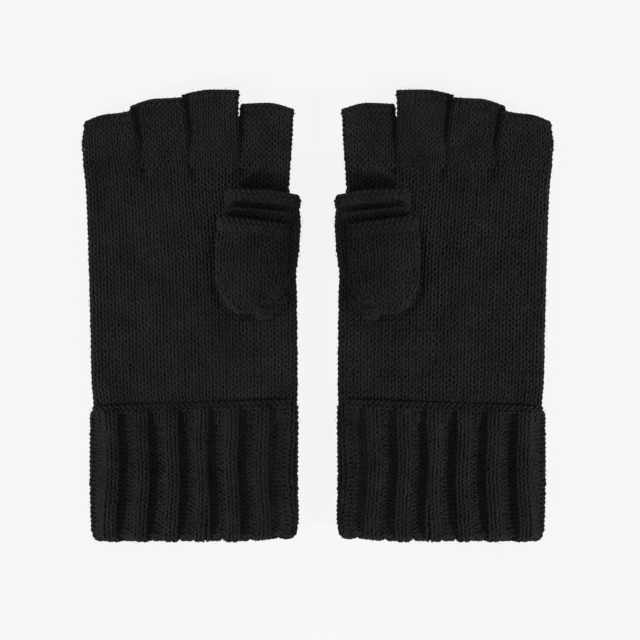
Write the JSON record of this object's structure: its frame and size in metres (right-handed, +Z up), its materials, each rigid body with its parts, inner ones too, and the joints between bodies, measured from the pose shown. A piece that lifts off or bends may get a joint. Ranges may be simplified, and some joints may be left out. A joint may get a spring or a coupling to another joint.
{
  "type": "convertible flip-top mittens",
  "caption": "Knitted half-finger gloves with a flip-over mitten hood, a flip-over thumb cap and turned-up rib cuffs.",
  "frame": {"origin": "on the surface, under the middle of the pair's box", "axes": "+X across the pair towards the left-hand mitten, +Y towards the finger tips, +Z up out of the palms"},
  "size_m": [0.2238, 0.2144, 0.0318],
  "materials": {
    "knit": "soft wool stockinette",
    "rib": "soft wool two by two rib",
    "bound_edge": "bound-off wool edge"
  },
  "bodies": {
    "right_mitten": {"right_hand_body": "knit", "right_cuff_inner": "rib", "right_thumb_gusset": "knit", "right_hood_seam": "bound_edge", "right_index_sleeve": "knit", "right_index_edge": "bound_edge", "right_middle_sleeve": "knit", "right_middle_edge": "bound_edge", "right_ring_sleeve": "knit", "right_ring_edge": "bound_edge", "right_pinky_sleeve": "knit", "right_pinky_edge": "bound_edge"},
    "right_turned_cuff": {"right_cuff_turnback": "rib", "right_cuff_edge": "bound_edge"},
    "right_thumb": {"right_thumb_sleeve": "knit", "right_thumb_edge": "bound_edge", "right_cap_seam": "bound_edge"},
    "right_cap": {"right_cap_back": "knit"},
    "right_cap_mouth": {"right_cap_front": "knit", "right_cap_edge": "bound_edge"},
    "right_hood": {"right_hood_back": "knit"},
    "right_hood_mouth": {"right_hood_front": "knit", "right_hood_edge": "bound_edge"},
    "left_mitten": {"left_hand_body": "knit", "left_cuff_inner": "rib", "left_thumb_gusset": "knit", "left_hood_seam": "bound_edge", "left_index_sleeve": "knit", "left_index_edge": "bound_edge", "left_middle_sleeve": "knit", "left_middle_edge": "bound_edge", "left_ring_sleeve": "knit", "left_ring_edge": "bound_edge", "left_pinky_sleeve": "knit", "left_pinky_edge": "bound_edge"},
    "left_turned_cuff": {"left_cuff_turnback": "rib", "left_cuff_edge": "bound_edge"},
    "left_thumb": {"left_thumb_sleeve": "knit", "left_thumb_edge": "bound_edge", "left_cap_seam": "bound_edge"},
    "left_cap": {"left_cap_back": "knit"},
    "left_cap_mouth": {"left_cap_front": "knit", "left_cap_edge": "bound_edge"},
    "left_hood": {"left_hood_back": "knit"},
    "left_hood_mouth": {"left_hood_front": "knit", "left_hood_edge": "bound_edge"}
  },
  "joints": [
    {"name": "right_hood_flip", "type": "hinge", "parent": "right_mitten", "child": "right_hood", "pos_m": [-0.0613, 0.0589, 0.0036], "axis": [1, 0, 0], "range_deg": [0, 180], "deforming": ["right_hood_front", "right_hood_edge"]},
    {"name": "right_hood_mouth_open", "type": "slide", "parent": "right_hood", "child": "right_hood_mouth", "axis": [0, 0, -1], "range_m": [0, 0.00991]},
    {"name": "right_thumb_fold", "type": "hinge", "parent": "right_mitten", "child": "right_thumb", "pos_m": [-0.0102, 0.03, 0.0147], "axis": [0, 1, 0], "range_deg": [0, 90]},
    {"name": "right_cap_flip", "type": "hinge", "parent": "right_thumb", "child": "right_cap", "pos_m": [-0.0304, 0.0473, 0.0282], "axis": [-1, 0, 0], "range_deg": [0, 180], "deforming": ["right_cap_front", "right_cap_edge"]},
    {"name": "right_cap_mouth_open", "type": "slide", "parent": "right_cap", "child": "right_cap_mouth", "axis": [0, 0, 1], "range_m": [0, 0.00971]},
    {"name": "right_cuff_turn_down", "type": "slide", "parent": "right_mitten", "child": "right_turned_cuff", "axis": [0, -1, 0], "range_m": [0, 0.06]},
    {"name": "pair_apart", "type": "slide", "parent": "right_mitten", "child": "left_mitten", "axis": [1, 0, 0], "range_m": [0, 0.1]},
    {"name": "left_hood_flip", "type": "hinge", "parent": "left_mitten", "child": "left_hood", "pos_m": [0.0613, 0.0589, 0.0036], "axis": [1, 0, 0], "range_deg": [0, 180], "deforming": ["left_hood_front", "left_hood_edge"]},
    {"name": "left_hood_mouth_open", "type": "slide", "parent": "left_hood", "child": "left_hood_mouth", "axis": [0, 0, -1], "range_m": [0, 0.00991]},
    {"name": "left_thumb_fold", "type": "hinge", "parent": "left_mitten", "child": "left_thumb", "pos_m": [0.0102, 0.03, 0.0147], "axis": [0, -1, 0], "range_deg": [0, 90]},
    {"name": "left_cap_flip", "type": "hinge", "parent": "left_thumb", "child": "left_cap", "pos_m": [0.0304, 0.0473, 0.0282], "axis": [-1, 0, 0], "range_deg": [0, 180], "deforming": ["left_cap_front", "left_cap_edge"]},
    {"name": "left_cap_mouth_open", "type": "slide", "parent": "left_cap", "child": "left_cap_mouth", "axis": [0, 0, 1], "range_m": [0, 0.00971]},
    {"name": "left_cuff_turn_down", "type": "slide", "parent": "left_mitten", "child": "left_turned_cuff", "axis": [0, -1, 0], "range_m": [0, 0.06]}
  ],
  "couplings": [
    {"joint": "right_hood_mouth_open", "follows": "right_hood_flip", "m_per_rad": 0.0031513},
    {"joint": "right_cap_mouth_open", "follows": "right_cap_flip", "m_per_rad": 0.0030876},
    {"joint": "left_hood_mouth_open", "follows": "left_hood_flip", "m_per_rad": 0.0031513},
    {"joint": "left_cap_mouth_open", "follows": "left_cap_flip", "m_per_rad": 0.0030876}
  ]
}
